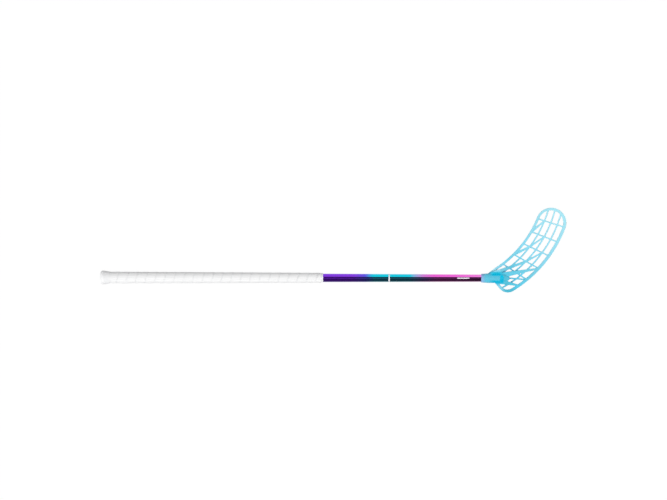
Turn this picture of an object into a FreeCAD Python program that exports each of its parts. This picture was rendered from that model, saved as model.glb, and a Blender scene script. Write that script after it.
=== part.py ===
import FreeCAD, Part

import math
import os

import Sketcher

# Floorball stick lying on its back, forehand face up. +X runs along the shaft from the
# butt to the blade, +Y points to the toe of the blade and +Z is up. The origin is the
# centre of the flat butt end, on the axis of the shaft. All lengths are millimetres.

SIZES = (
    # Shaft
    ("shaft_length", 1000.0),
    ("shaft_butt_diameter", 25.0),
    ("shaft_tip_diameter", 17.6),
    ("shaft_wall", 1.2),
    ("tip_plug_length", 46.0),
    ("tip_plug_fit", 0.15),
    # End cap
    ("cap_floor", 4.0),
    ("cap_knob_wall", 4.85),
    ("cap_edge_round", 7.3),
    ("cap_head_length", 8.0),
    ("cap_skirt_length", 15.0),
    ("cap_skirt_wall", 2.75),
    ("cap_ring_place", 12.0),
    ("cap_ring_half_width", 0.6),
    ("cap_ring_depth", 0.6),
    ("cap_plug_length", 36.0),
    ("cap_plug_wall", 2.4),
    ("cap_fit", 0.1),
    # Wound grip and its finishing band
    ("grip_length", 528.7),
    ("grip_pitch", 23.7),
    ("grip_lead_in", 32.8),
    ("grip_thickness", 2.0),
    ("grip_turn_gap", 0.6),
    ("grip_bond", 0.15),
    ("grip_end_gap", 0.3),
    ("band_width", 4.5),
    ("band_thickness", 1.3),
    ("band_fit", 0.05),
    # Hosel of the blade
    ("hosel_depth", 48.0),
    ("hosel_mouth_wall", 1.8),
    ("hosel_root_wall", 2.9),
    ("hosel_taper_length", 18.0),
    ("hosel_end_wall", 8.5),
    ("hosel_fit", 0.1),
    ("hosel_tip_gap", 0.4),
    ("nose_length", 14.0),
    ("nose_diameter", 8.0),
    # Outline of the blade, from the tip of the shaft
    ("toe_reach", 127.0),
    ("toe_rise", 138.6),
    ("toe_radius", 37.8),
    ("heel_reach", 18.9),
    ("heel_drop", 9.5),
    ("heel_radius", 26.3),
    ("sole_radius", 312.3),
    ("top_edge_radius", 273.7),
    ("shoulder_back", 14.0),
    ("shoulder_rise", 25.0),
    ("rim_over_back", 35.0),
    ("rim_under_back", 16.3),
    ("rim_root_offset", 8.0),
    # Rim and face
    ("rim_width", 6.9),
    ("rim_sole_extra", 0.65),
    ("rim_flat_length", 112.0),
    ("rim_hook_radius", 650.0),
    ("face_height", 5.8),
    ("face_radius", 130.0),
    ("hook_tilt", 13.5),
    # Lattice
    ("sole_rib_start", -1.3),
    ("sole_rib_spacing", 41.2),
    ("top_rib_start", 3.0),
    ("top_rib_spacing", 35.65),
    ("cross_rib_width", 3.5),
    ("long_rib_width", 3.9),
    ("long_rib_setback", 0.4),
    ("long_rib_back", 5.4),
    ("cross_rib_setback", 1.2),
    ("cross_rib_back", 4.8),
    ("diagonal_rib_width", 3.6),
    ("diagonal_root_width", 6.6),
    ("long_rib_root", 22.0),
    # Gussets from the hosel into the lattice
    ("gusset_root_height", 5.0),
    ("gusset_root_back", 20.0),
    ("gusset_level_length", 12.0),
    ("gusset_slope_length", 58.0),
    ("upper_gusset_width", 15.4),
    ("upper_gusset_rise", 4.9),
    ("lower_gusset_width", 15.0),
    ("lower_gusset_drop", 6.0),
    ("gusset_end_width", 3.4),
    ("lower_gusset_reach", 188.0),
    ("shoulder_web_width", 9.6),
    ("shoulder_web_end_width", 7.0),
    ("shoulder_web_back", 24.0),
    ("shoulder_web_rise", 10.0),
    ("shoulder_web_reach", 12.0),
    ("shoulder_web_slope_length", 34.0),
    # Blade screws
    ("mouth_screw_place", 12.0),
    ("screw_spacing", 28.0),
    ("screw_length", 9.5),
    ("screw_diameter", 2.9),
    ("screw_core_diameter", 2.2),
    ("screw_thread_pitch", 1.1),
    ("screw_point_length", 2.0),
    ("screw_head_diameter", 5.6),
    ("screw_head_height", 1.8),
    ("screw_head_bevel", 0.6),
    ("screw_slot_length", 3.4),
    ("screw_slot_width", 0.8),
    ("screw_slot_depth", 1.0),
    ("screw_fit", 0.3),
    ("screw_seat_wall", 1.0),
    ("screw_seat_gap", 0.05),
)

# Places of the three long ribs across the blade, as shares from the top edge to the sole
LONG_RIB_SHARES = (0.25, 0.49, 0.735)
CROSS_RIB_COUNT = 5

doc = FreeCAD.newDocument("floorball_stick")
sheet = doc.addObject("Spreadsheet::Sheet", "Sizes")
for row, (alias, value) in enumerate(SIZES, start=1):
    sheet.set(f"A{row}", alias)
    sheet.set(f"B{row}", str(value))
    sheet.setAlias(f"B{row}", alias)
doc.recompute()


def size(alias):
    """Give one driving dimension as a number."""
    return float(sheet.get(alias))


def cell(alias):
    """Give the expression that reads one driving dimension."""
    return f"Sizes.{alias}"


def shaft_radius_at(place):
    """Give the expression for the outer radius of the shaft at a place along X."""
    taper = "(Sizes.shaft_butt_diameter - Sizes.shaft_tip_diameter)"
    return f"(Sizes.shaft_butt_diameter - {taper} * ({place}) / Sizes.shaft_length) / 2"


def shaft_radius(place):
    """Give the outer radius of the shaft at a place along X as a number."""
    taper = (size("shaft_butt_diameter") - size("shaft_tip_diameter")) / size("shaft_length")
    return (size("shaft_butt_diameter") - taper * place) / 2


def origin_plane(body, role):
    """Find one of a body's own origin planes."""
    for feature in body.Origin.OriginFeatures:
        if feature.Role == role:
            return feature
    raise ValueError(role)


def bind_vertex(sketch, edge, direction, axis, expression):
    """Tie one coordinate of an edge's first point to an expression."""
    value = float(sketch.evalExpression(expression))
    if abs(value) < 1e-9:
        sketch.addConstraint(Sketcher.Constraint("PointOnObject", edge, 1, axis))
        return
    if value > 0:
        index = sketch.addConstraint(Sketcher.Constraint(direction, -1, 1, edge, 1, value))
    else:
        index = sketch.addConstraint(Sketcher.Constraint(direction, edge, 1, -1, 1, -value))
        expression = f"-({expression})"
    name = f"{direction}_{edge}"
    sketch.renameConstraint(index, name)
    sketch.setExpression(f"Constraints.{name}", expression)


def polygon_sketch(body, role, corners):
    """Add a closed polygon whose corners are pairs of expressions."""
    sketch = body.newObject("Sketcher::SketchObject", f"{body.Label}_sketch")
    sketch.AttachmentSupport = [(origin_plane(body, role), "")]
    sketch.MapMode = "FlatFace"
    points = []
    for across, along in corners:
        first = float(sketch.evalExpression(across))
        second = float(sketch.evalExpression(along))
        points.append(FreeCAD.Vector(first, second, 0))
    count = len(points)
    for edge in range(count):
        line = Part.LineSegment(points[edge], points[(edge + 1) % count])
        sketch.addGeometry(line, False)
    for edge in range(count):
        following = (edge + 1) % count
        sketch.addConstraint(Sketcher.Constraint("Coincident", edge, 2, following, 1))
    for edge, (across, along) in enumerate(corners):
        bind_vertex(sketch, edge, "DistanceX", -2, across)
        bind_vertex(sketch, edge, "DistanceY", -1, along)
    return sketch


def turned_body(label, corners):
    """Add a body turned about X from corners given as place and radius."""
    body = doc.addObject("PartDesign::Body", label)
    body.Label = label
    sketch = polygon_sketch(body, "XY_Plane", corners)
    turned = body.newObject("PartDesign::Revolution", f"{label}_turned")
    turned.Profile = sketch
    turned.ReferenceAxis = (sketch, ["H_Axis"])
    turned.Angle = 360
    doc.recompute()
    return body


HOSEL_MOUTH = "(Sizes.shaft_length - Sizes.hosel_depth)"
HOSEL_BORE = f"({shaft_radius_at(HOSEL_MOUTH)} + Sizes.hosel_fit)"
HOSEL_RADIUS = f"({HOSEL_BORE} + Sizes.hosel_root_wall)"
# A screw head's seat is a flat sunk into the back of the hosel, this far below the axis
SCREW_SEAT = f"({HOSEL_BORE} + Sizes.screw_seat_wall)"
SCREW_POINT = f"(Sizes.screw_length - {SCREW_SEAT} - Sizes.screw_seat_gap)"


def screw_places():
    """Give the expressions for the places of the two blade screws along X."""
    first = f"{HOSEL_MOUTH} + Sizes.mouth_screw_place"
    return first, f"{first} + Sizes.screw_spacing"


def add_screw_holes(body):
    """Pocket the two screw holes from just above the screws' points down through a body's back."""
    volume = body.Shape.Volume
    sketch = body.newObject("Sketcher::SketchObject", f"{body.Label}_screw_holes")
    sketch.AttachmentSupport = [(origin_plane(body, "XY_Plane"), "")]
    sketch.MapMode = "FlatFace"
    sketch.setExpression("AttachmentOffset.Base.z", f"{SCREW_POINT} + Sizes.screw_fit")
    radius = "(Sizes.screw_diameter + Sizes.screw_fit) / 2"
    for edge, place in enumerate(screw_places()):
        centre = FreeCAD.Vector(float(sketch.evalExpression(place)), 0, 0)
        value = float(sketch.evalExpression(radius))
        sketch.addGeometry(Part.Circle(centre, FreeCAD.Vector(0, 0, 1), value), False)
        sketch.addConstraint(Sketcher.Constraint("PointOnObject", edge, 3, -1))
        along = sketch.addConstraint(Sketcher.Constraint("DistanceX", -1, 1, edge, 3, centre.x))
        sketch.renameConstraint(along, f"place_{edge}")
        sketch.setExpression(f"Constraints.place_{edge}", place)
        around = sketch.addConstraint(Sketcher.Constraint("Radius", edge, value))
        sketch.renameConstraint(around, f"radius_{edge}")
        sketch.setExpression(f"Constraints.radius_{edge}", radius)
    pocket = body.newObject("PartDesign::Pocket", f"{body.Label}_screw_pockets")
    pocket.Profile = sketch
    pocket.setExpression("Length", "Sizes.screw_length + Sizes.shaft_butt_diameter")
    doc.recompute()
    if body.Shape.Volume >= volume:
        raise ValueError(f"{body.Label}: the screw holes cut nothing")


# Shaft tube: a straight taper from butt to tip, open at both ends
TIP = cell("shaft_length")
TUBE_START = cell("cap_floor")


def tube_bore_at(place):
    """Give the expression for the inner radius of the tube."""
    return f"{shaft_radius_at(place)} - Sizes.shaft_wall"


shaft_tube = turned_body("shaft_tube", (
    (TUBE_START, shaft_radius_at(TUBE_START)),
    (TIP, shaft_radius_at(TIP)),
    (TIP, tube_bore_at(TIP)),
    (TUBE_START, tube_bore_at(TUBE_START)),
))
add_screw_holes(shaft_tube)

# Plug in the tip of the tube, which takes the points of the blade screws
PLUG_START = "Sizes.shaft_length - Sizes.tip_plug_length"
shaft_tip_plug = turned_body("shaft_tip_plug", (
    (PLUG_START, "0"),
    (PLUG_START, f"{tube_bore_at(PLUG_START)} - Sizes.tip_plug_fit"),
    (TIP, f"{tube_bore_at(TIP)} - Sizes.tip_plug_fit"),
    (TIP, "0"),
))
add_screw_holes(shaft_tip_plug)

# End cap: a rounded flared knob with a slot for the tube and a hollow plug inside it
SKIRT_END = "(Sizes.cap_head_length + Sizes.cap_skirt_length)"
CAP_PLUG_END = "(Sizes.cap_floor + Sizes.cap_plug_length)"


CAP_RADIUS = "(Sizes.shaft_butt_diameter / 2 + Sizes.cap_knob_wall)"
SKIRT_BORE = f"({shaft_radius_at(SKIRT_END)} + Sizes.cap_fit)"


def flare_radius_at(place):
    """Give the expression for the outer radius of the cap's flared skirt."""
    drop = f"({CAP_RADIUS} - {SKIRT_BORE} - Sizes.cap_skirt_wall)"
    share = f"(({place}) - Sizes.cap_head_length) / Sizes.cap_skirt_length"
    return f"{CAP_RADIUS} - {drop} * {share}"


def cap_plug_radius_at(place):
    """Give the expression for the outer radius of the cap's plug."""
    return f"{tube_bore_at(place)} - Sizes.cap_fit"


RING_BEFORE = "Sizes.cap_ring_place - Sizes.cap_ring_half_width"
RING_AFTER = "Sizes.cap_ring_place + Sizes.cap_ring_half_width"
CAP_HOLLOW = f"{cap_plug_radius_at(CAP_PLUG_END)} - Sizes.cap_plug_wall"
end_cap = turned_body("end_cap", (
    ("0", "0"),
    ("0", CAP_RADIUS),
    (cell("cap_head_length"), CAP_RADIUS),
    (RING_BEFORE, flare_radius_at(RING_BEFORE)),
    (cell("cap_ring_place"), f"{flare_radius_at(cell('cap_ring_place'))} - Sizes.cap_ring_depth"),
    (RING_AFTER, flare_radius_at(RING_AFTER)),
    (SKIRT_END, flare_radius_at(SKIRT_END)),
    (SKIRT_END, SKIRT_BORE),
    (TUBE_START, f"{shaft_radius_at(TUBE_START)} + Sizes.cap_fit"),
    (TUBE_START, cap_plug_radius_at(TUBE_START)),
    (CAP_PLUG_END, cap_plug_radius_at(CAP_PLUG_END)),
    (CAP_PLUG_END, CAP_HOLLOW),
    (TUBE_START, CAP_HOLLOW),
    (TUBE_START, "0"),
))
cap_turned = end_cap.Tip
cap_edges = [
    f"Edge{number}"
    for number, edge in enumerate(cap_turned.Shape.Edges, start=1)
    if edge.Closed and abs(edge.CenterOfMass.x) < 1e-6
]
cap_round = end_cap.newObject("PartDesign::Fillet", "end_cap_round")
cap_round.Base = (cap_turned, cap_edges)
cap_round.setExpression("Radius", "min(Sizes.cap_edge_round; 0.95 * Sizes.cap_head_length)")
doc.recompute()

# Finishing band over the bare shaft, just past the wound grip
GRIP_START = f"({SKIRT_END} + Sizes.grip_end_gap)"
GRIP_END = f"({GRIP_START} + Sizes.grip_length)"
BAND_START = f"({GRIP_END} + Sizes.grip_end_gap)"
BAND_END = f"({BAND_START} + Sizes.band_width)"
grip_finish_band = turned_body("grip_finish_band", (
    (BAND_START, f"{shaft_radius_at(BAND_START)} + Sizes.band_fit"),
    (BAND_END, f"{shaft_radius_at(BAND_END)} + Sizes.band_fit"),
    (BAND_END, f"{shaft_radius_at(BAND_END)} + Sizes.band_thickness"),
    (BAND_START, f"{shaft_radius_at(BAND_START)} + Sizes.band_thickness"),
))


# Wound grip: one strip, wound as a screw line round the taper and cut square at both ends
def screw_line(turn, pitch, start, lift):
    """Give the point and direction of a left-hand screw line on the shaft after some turns."""
    angle = 2 * math.pi * turn
    place = start + pitch * turn
    radius = shaft_radius(place) + lift
    advance = pitch / (2 * math.pi)
    slope = (shaft_radius(1) - shaft_radius(0)) * advance
    point = FreeCAD.Vector(place, radius * math.cos(angle), -radius * math.sin(angle))
    direction = FreeCAD.Vector(
        advance,
        slope * math.cos(angle) - radius * math.sin(angle),
        -slope * math.sin(angle) - radius * math.cos(angle),
    )
    return point, direction.normalize()


def tangent_arc(start, direction, end):
    """Give the arc that leaves start along direction and ends at end."""
    chord = end - start
    along = FreeCAD.Vector(chord).normalize()
    lean = direction.getAngle(along)
    halfway = (along + direction).normalize()
    middle = start + halfway * (chord.Length / 2 / math.cos(lean / 2))
    return Part.Arc(start, middle, end).toShape()


def biarc(start, start_direction, end, end_direction):
    """Join two points and directions by two tangent arcs."""
    chord = end - start
    both = start_direction + end_direction
    spread = 2 * (1 - start_direction.dot(end_direction))
    reach = chord.dot(both)
    arm = (math.sqrt(reach ** 2 + spread * chord.dot(chord)) - reach) / spread
    joint = (start + end + (start_direction - end_direction) * arm) * 0.5
    first = tangent_arc(start, start_direction, joint)
    second = tangent_arc(end, end_direction * -1, joint)
    second.reverse()
    return first, second


def least_turn_gap(pitch, start, lift, half_width, turns):
    """Measure the least gap between neighbouring turns on points of the strip's edges."""
    steps_per_turn = 48
    right_edge = []
    left_edge = []
    for step in range(int(turns * steps_per_turn)):
        turn = step / steps_per_turn
        point, direction = screw_line(turn, pitch, start, lift)
        outward = FreeCAD.Vector(0, point.y, point.z).normalize()
        sideways = outward.cross(direction).normalize()
        if sideways.x < 0:
            sideways = sideways * -1
        right_edge.append(point + sideways * half_width)
        left_edge.append(point - sideways * half_width)
    gap = pitch
    for step, edge_point in enumerate(right_edge[:-steps_per_turn - steps_per_turn // 4]):
        near = left_edge[step + steps_per_turn * 3 // 4:step + steps_per_turn * 5 // 4]
        gap = min(gap, min(edge_point.distanceToPoint(other) for other in near))
    return gap


def grip_strip():
    """Make the wound strip, print the least gap between its turns and cut its ends square."""
    pitch = size("grip_pitch")
    thickness = size("grip_thickness")
    start = float(sheet.evalExpression(GRIP_START))
    end = start + size("grip_length")
    first_place = start - size("grip_lead_in")
    quarter_turns = math.ceil((end + size("grip_lead_in") - first_place) / pitch * 4)
    lift = size("grip_bond") + thickness / 2
    edges = []
    for quarter in range(quarter_turns):
        here = screw_line(quarter / 4, pitch, first_place, lift)
        there = screw_line((quarter + 1) / 4, pitch, first_place, lift)
        edges.extend(biarc(*here, *there))
    point, direction = screw_line(0, pitch, first_place, lift)
    outward = FreeCAD.Vector(0, 1, 0)
    sideways = direction.cross(outward).normalize()
    # The turns lie steepest at the thin end, and the strip is narrow enough to clear itself there
    thin_end = screw_line(quarter_turns / 4, pitch, first_place, lift)
    lead = math.asin(abs(thin_end[1].x))
    half_width = (pitch * math.cos(lead) - size("grip_turn_gap")) / 2
    # Its hollow fits the thick end, where the turns lie flattest, so it stays clear of the shaft
    crown_radius = shaft_radius(first_place) / direction.x ** 2
    sag = half_width ** 2 / (2 * crown_radius)
    inner = [
        point - outward * (thickness / 2 + sag * abs(share)) + sideways * (half_width * share)
        for share in (-1, 0, 1)
    ]
    outer = [corner + outward * thickness for corner in inner]
    section = Part.Wire([
        Part.Arc(*inner).toShape(),
        Part.makeLine(inner[2], outer[2]),
        Part.Arc(*reversed(outer)).toShape(),
        Part.makeLine(outer[0], inner[0]),
    ])
    shell = Part.BRepOffsetAPI.MakePipeShell(Part.Wire(edges))
    # The strip is flat, so its width is held along the shaft all the way
    shell.setBiNormalMode(FreeCAD.Vector(1, 0, 0))
    shell.add(section)
    shell.build()
    shell.makeSolid()
    gap = least_turn_gap(pitch, first_place, lift, half_width, quarter_turns / 4)
    print(f"grip_wrap: {(end - start) / pitch:.1f} turns, least gap to itself {gap:.2f} mm")
    length_cut = Part.makeCylinder(
        2 * (shaft_radius(start) + lift), end - start, FreeCAD.Vector(start, 0, 0), FreeCAD.Vector(1, 0, 0)
    )
    return shell.shape().common(length_cut)


grip_wrap = doc.addObject("Part::Feature", "grip_wrap")
grip_wrap.Label = "grip_wrap"
grip_wrap.Shape = grip_strip()
grip_wrap.Placement = FreeCAD.Placement()


# Blade screws: pan heads with a cross slot, driven up into the tip plug from the back
def blade_screw(label, place):
    """Add one blade screw at a place along X, its head down."""
    thread_start = "(Sizes.screw_head_height + Sizes.screw_thread_pitch)"
    corners = [
        ("0", "0"),
        ("0", "Sizes.screw_head_diameter / 2 - Sizes.screw_head_bevel"),
        (cell("screw_head_bevel"), "Sizes.screw_head_diameter / 2"),
        (cell("screw_head_height"), "Sizes.screw_head_diameter / 2"),
        (cell("screw_head_height"), "Sizes.screw_core_diameter / 2"),
    ]
    threaded = size("screw_length") - size("screw_point_length") - size("screw_thread_pitch")
    thread_count = int(threaded / size("screw_thread_pitch"))
    for turn in range(thread_count):
        foot = f"{thread_start} + {turn} * Sizes.screw_thread_pitch"
        corners.append((foot, "Sizes.screw_core_diameter / 2"))
        corners.append((f"{foot} + Sizes.screw_thread_pitch / 2", "Sizes.screw_diameter / 2"))
    thread_end = f"{thread_start} + {thread_count} * Sizes.screw_thread_pitch"
    corners.append((thread_end, "Sizes.screw_core_diameter / 2"))
    corners.append(("Sizes.screw_head_height + Sizes.screw_length", "0"))
    screw = turned_body(label, corners)
    volume = screw.Shape.Volume
    half_length = "Sizes.screw_slot_length / 2"
    half_width = "Sizes.screw_slot_width / 2"
    arm = ((half_width, half_length), (half_width, half_width), (half_length, half_width))
    cross = []
    for quarter in range(4):
        corner_set = arm if quarter % 2 == 0 else tuple(reversed(arm))
        across_sign = "" if quarter in (0, 1) else "-"
        along_sign = "" if quarter in (0, 3) else "-"
        for across, along in corner_set:
            cross.append((f"{across_sign}({across})", f"{along_sign}({along})"))
    sketch = polygon_sketch(screw, "YZ_Plane", cross)
    slot = screw.newObject("PartDesign::Pocket", f"{label}_slot")
    slot.Profile = sketch
    slot.Reversed = True
    slot.setExpression("Length", cell("screw_slot_depth"))
    doc.recompute()
    if screw.Shape.Volume >= volume:
        raise ValueError(f"{label}: the slot cuts nothing")
    screw.Placement.Rotation = FreeCAD.Rotation(FreeCAD.Vector(0, 1, 0), -90)
    screw.setExpression("Placement.Base.x", place)
    screw.setExpression("Placement.Base.z", f"{SCREW_POINT} - Sizes.screw_length - Sizes.screw_head_height")
    doc.recompute()
    return screw


mouth_screw_at, tip_screw_at = screw_places()
mouth_blade_screw = blade_screw("mouth_blade_screw", mouth_screw_at)
tip_blade_screw = blade_screw("tip_blade_screw", tip_screw_at)


# Outline of the blade: a toe, sole, heel and top edge of tangent arcs
def plan(across, along):
    """Give a point of the blade's plan."""
    return FreeCAD.Vector(across, along, 0)


def on_circle(centre, radius, degrees):
    """Give the point of a circle at an angle from X."""
    angle = math.radians(degrees)
    return centre + plan(math.cos(angle), math.sin(angle)) * radius


def bearing(start, end):
    """Give the direction from one point to another in degrees from X."""
    return math.degrees(math.atan2(end.y - start.y, end.x - start.x))


def circles_meet(first, first_radius, second, second_radius):
    """Give the two points where two circles meet."""
    span = (second - first).Length
    along = (first_radius ** 2 - second_radius ** 2 + span ** 2) / (2 * span)
    aside = math.sqrt(first_radius ** 2 - along ** 2)
    forward = (second - first) * (1 / span)
    sideways = plan(-forward.y, forward.x)
    foot = first + forward * along
    return foot + sideways * aside, foot - sideways * aside


def arc_edge(centre, radius, start, end):
    """Give the edge of an arc between two angles."""
    places = [on_circle(centre, radius, degrees) for degrees in (start, (start + end) / 2, end)]
    return Part.Arc(*places).toShape()


tip = size("shaft_length")
toe = plan(tip + size("toe_reach"), size("toe_rise"))
toe_radius = size("toe_radius")
heel = plan(tip + size("heel_reach"), -size("heel_drop"))
heel_radius = size("heel_radius")
sole_radius = size("sole_radius")
top_radius = size("top_edge_radius")
shoulder = plan(tip - size("shoulder_back"), size("shoulder_rise"))
rim_over = plan(tip - size("rim_over_back"), size("rim_root_offset"))
rim_under = plan(tip - size("rim_under_back"), -size("rim_root_offset"))
rim_width = size("rim_width")
sole = min(circles_meet(toe, sole_radius - toe_radius, heel, sole_radius - heel_radius),
           key=lambda point: point.x)
top = min(circles_meet(toe, top_radius + toe_radius, shoulder, top_radius),
          key=lambda point: point.x)


def blade_outline():
    """Make the face inside the outer edge of the rim."""
    heel_way = bearing(rim_under, heel)
    heel_way -= math.degrees(math.asin(heel_radius / (heel - rim_under).Length))
    heel_start = heel_way - 90
    heel_touch = on_circle(heel, heel_radius, heel_start)
    toe_end = bearing(sole, toe)
    sole_end = bearing(sole, heel)
    edges = [
        Part.makeLine(rim_over, shoulder),
        arc_edge(top, top_radius, bearing(top, shoulder), bearing(top, toe)),
        arc_edge(toe, toe_radius, bearing(toe, top), toe_end),
        arc_edge(sole, sole_radius, toe_end, sole_end),
        arc_edge(heel, heel_radius, sole_end, heel_start),
        Part.makeLine(heel_touch, rim_under),
        Part.makeLine(rim_under, rim_over),
    ]
    return Part.Face(Part.Wire(edges))


# Lattice: crossing points of the cross ribs and long ribs, counted from the toe
def sole_place(along):
    """Give a point in the middle of the rim, some way along the sole from the toe."""
    way = bearing(sole, toe) - math.degrees(along / sole_radius)
    return on_circle(sole, sole_radius - rim_width / 2, way)


def cross_ends(station):
    """Give a cross rib's ends in the middle of the rim, at the top edge and the sole."""
    along_top = size("top_rib_start") + size("top_rib_spacing") * station
    along_sole = size("sole_rib_start") + size("sole_rib_spacing") * station
    top_way = bearing(top, toe) - math.degrees(along_top / top_radius)
    return on_circle(top, top_radius + rim_width / 2, top_way), sole_place(along_sole)


def crossing(station, long_rib):
    """Give the point where a cross rib meets a long rib."""
    at_top, at_sole = cross_ends(station)
    return at_top + (at_sole - at_top) * LONG_RIB_SHARES[long_rib]


def bar(start, end, start_width, end_width=None):
    """Make the plan face of a straight rib, with its own width at each end."""
    if end_width is None:
        end_width = start_width
    along = (end - start).normalize()
    aside = plan(-along.y, along.x)
    corners = [
        start + aside * (start_width / 2),
        end + aside * (end_width / 2),
        end - aside * (end_width / 2),
        start - aside * (start_width / 2),
    ]
    return Part.Face(Part.makePolygon(corners + corners[:1]))


def bent_bar(centre, radius, start, end, width):
    """Make the plan face of a rib along an arc."""
    outside = radius + width / 2
    inside = radius - width / 2
    return Part.Face(Part.Wire([
        arc_edge(centre, outside, start, end),
        Part.makeLine(on_circle(centre, outside, end), on_circle(centre, inside, end)),
        arc_edge(centre, inside, end, start),
        Part.makeLine(on_circle(centre, inside, start), on_circle(centre, outside, start)),
    ]))


def long_ribs():
    """Make the plan faces of the three long ribs."""
    faces = []
    last = CROSS_RIB_COUNT - 1
    for rib in range(len(LONG_RIB_SHARES)):
        through = [crossing(station, rib) for station in (0, last // 2, last)]
        circle = Part.Circle(*through)
        centre = circle.Center
        radius = circle.Radius
        toe_meets = circles_meet(toe, toe_radius - rim_width / 2, centre, radius)
        toe_meet = max(toe_meets, key=lambda point: point.y)
        root = bearing(centre, through[2])
        if rib == 0:
            root -= math.degrees(size("long_rib_root") / radius)
        if rib == len(LONG_RIB_SHARES) - 1:
            heel_meets = circles_meet(heel, heel_radius - rim_width / 2, centre, radius)
            root = bearing(centre, min(heel_meets, key=lambda point: point.x))
        faces.append(bent_bar(centre, radius, root, bearing(centre, toe_meet), size("long_rib_width")))
    return faces


def cross_ribs():
    """Make the plan faces of the cross ribs and of the diagonals between crossings."""
    faces = [bar(*cross_ends(station), size("cross_rib_width")) for station in range(CROSS_RIB_COUNT)]
    root_width = size("diagonal_root_width")
    end_width = size("diagonal_rib_width")
    runs = (
        (cross_ends(1)[0], crossing(0, 0)),
        (cross_ends(3)[0], crossing(2, 0), crossing(1, 1)),
        (web_fork, crossing(3, 1), crossing(2, 2)),
    )
    for run in runs:
        taper = (end_width - root_width) / (len(run) - 1)
        for number, (start, end) in enumerate(zip(run, run[1:])):
            width = root_width + taper * number
            faces.append(bar(start, end, width, width + taper))
    # The nose rib runs on under the nose into the root of the upper gusset
    sole_end = cross_ends(CROSS_RIB_COUNT - 1)[1]
    nose_way = (sole_end - nose_root).normalize()
    faces.append(bar(nose_root - nose_way * (nose_end - tip), sole_end, end_width))
    return faces


hosel_end = tip + size("hosel_end_wall")
nose_end = hosel_end + size("nose_length")
shoulder_root = plan(tip - size("shoulder_web_back"), size("shoulder_web_rise"))
nose_root = plan(nose_end, 0)
web_crossing = crossing(CROSS_RIB_COUNT - 1, 0)
diagonal_way = (crossing(CROSS_RIB_COUNT - 2, 1) - web_crossing).normalize()
# The shoulder web passes the first long rib and goes over into the longest diagonal
web_fork = web_crossing + diagonal_way * size("shoulder_web_reach")


def gussets():
    """Make the plan faces of the tall webs that spread from the hosel."""
    root_place = hosel_end - size("gusset_root_back")
    upper_root = plan(root_place, size("upper_gusset_rise"))
    lower_root = plan(root_place, -size("lower_gusset_drop"))
    low_end = sole_place(size("lower_gusset_reach"))
    end_width = size("gusset_end_width")
    return [
        bar(upper_root, cross_ends(3)[1], size("upper_gusset_width"), end_width),
        bar(lower_root, low_end, size("lower_gusset_width"), end_width),
    ]


def shoulder_webs():
    """Make the plan face of the web that runs from the hosel's shoulder to the fork."""
    return [bar(shoulder_root, web_fork, size("shoulder_web_width"), size("shoulder_web_end_width"))]


# The stick lies on the knob of its cap and on the back of the rim, at one level
floor_level = -float(sheet.evalExpression(CAP_RADIUS))
face_level = floor_level + size("face_height")
slab_height = -6 * floor_level


def upright(label, faces):
    """Add an object that raises plan faces from the floor as one solid."""
    base = FreeCAD.Vector(0, 0, floor_level)
    raised = []
    for face in faces:
        placed = face.copy()
        placed.translate(base)
        raised.append(placed.extrude(FreeCAD.Vector(0, 0, slab_height)))
    shape = raised[0] if len(raised) == 1 else raised[0].multiFuse(raised[1:]).removeSplitter()
    web = doc.addObject("Part::Feature", label)
    web.Shape = shape
    return web


# Face of the blade: a hollow across it, on a ring that leans so that the toe hooks upwards
face_ring_radius = (sole_radius + top_radius) / 2
face_ring_centre = (sole + top) * 0.5
hook_lift = face_ring_radius * math.sin(math.radians(size("hook_tilt")))


def face_ring(label, depth):
    """Add the ring whose lower side is the blade's face, some depth below the front."""
    ring = doc.addObject("Part::Torus", label)
    ring.Radius1 = face_ring_radius
    ring.setExpression("Radius2", f"Sizes.face_radius + {depth}" if depth else cell("face_radius"))
    lowest = (crossing(CROSS_RIB_COUNT - 2, 1) + crossing(CROSS_RIB_COUNT - 1, 1)) * 0.5
    hinge_way = bearing(face_ring_centre, lowest) + 90
    lean = FreeCAD.Rotation(on_circle(plan(0, 0), 1, hinge_way), size("hook_tilt"))
    height = hook_lift + size("face_radius") + face_level
    ring.Placement = FreeCAD.Placement(face_ring_centre + FreeCAD.Vector(0, 0, height), lean)
    return ring


def rim_underside():
    """Make the space over the rim's back: level under the heel, then hooked up at the toe."""
    along = (toe - heel).normalize()
    reach = 2 * slab_height
    hook_radius = size("rim_hook_radius")
    bend = size("rim_flat_length")
    sweep = math.asin(min(1.0, reach / hook_radius))

    def profile(distance, height):
        return heel + along * distance + FreeCAD.Vector(0, 0, floor_level + height)

    def hook(angle):
        return profile(bend + hook_radius * math.sin(angle), hook_radius * (1 - math.cos(angle)))

    ceiling = slab_height + hook_radius
    edges = [
        Part.makeLine(profile(-reach, 0), profile(bend, 0)),
        Part.Arc(profile(bend, 0), hook(sweep / 2), hook(sweep)).toShape(),
        Part.makeLine(hook(sweep), profile(bend + hook_radius * math.sin(sweep), ceiling)),
        Part.makeLine(profile(bend + hook_radius * math.sin(sweep), ceiling), profile(-reach, ceiling)),
        Part.makeLine(profile(-reach, ceiling), profile(-reach, 0)),
    ]
    aside = plan(-along.y, along.x)
    face = Part.Face(Part.Wire(edges))
    face.translate(aside * -reach)
    return face.extrude(aside * (2 * reach))


def common(label, base, tool):
    """Add what two objects share."""
    shared = doc.addObject("Part::Common", label)
    shared.Base = base
    shared.Tool = tool
    return shared


def cut(label, base, tool):
    """Add an object less another."""
    less = doc.addObject("Part::Cut", label)
    less.Base = base
    less.Tool = tool
    return less


outline = blade_outline()
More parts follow.
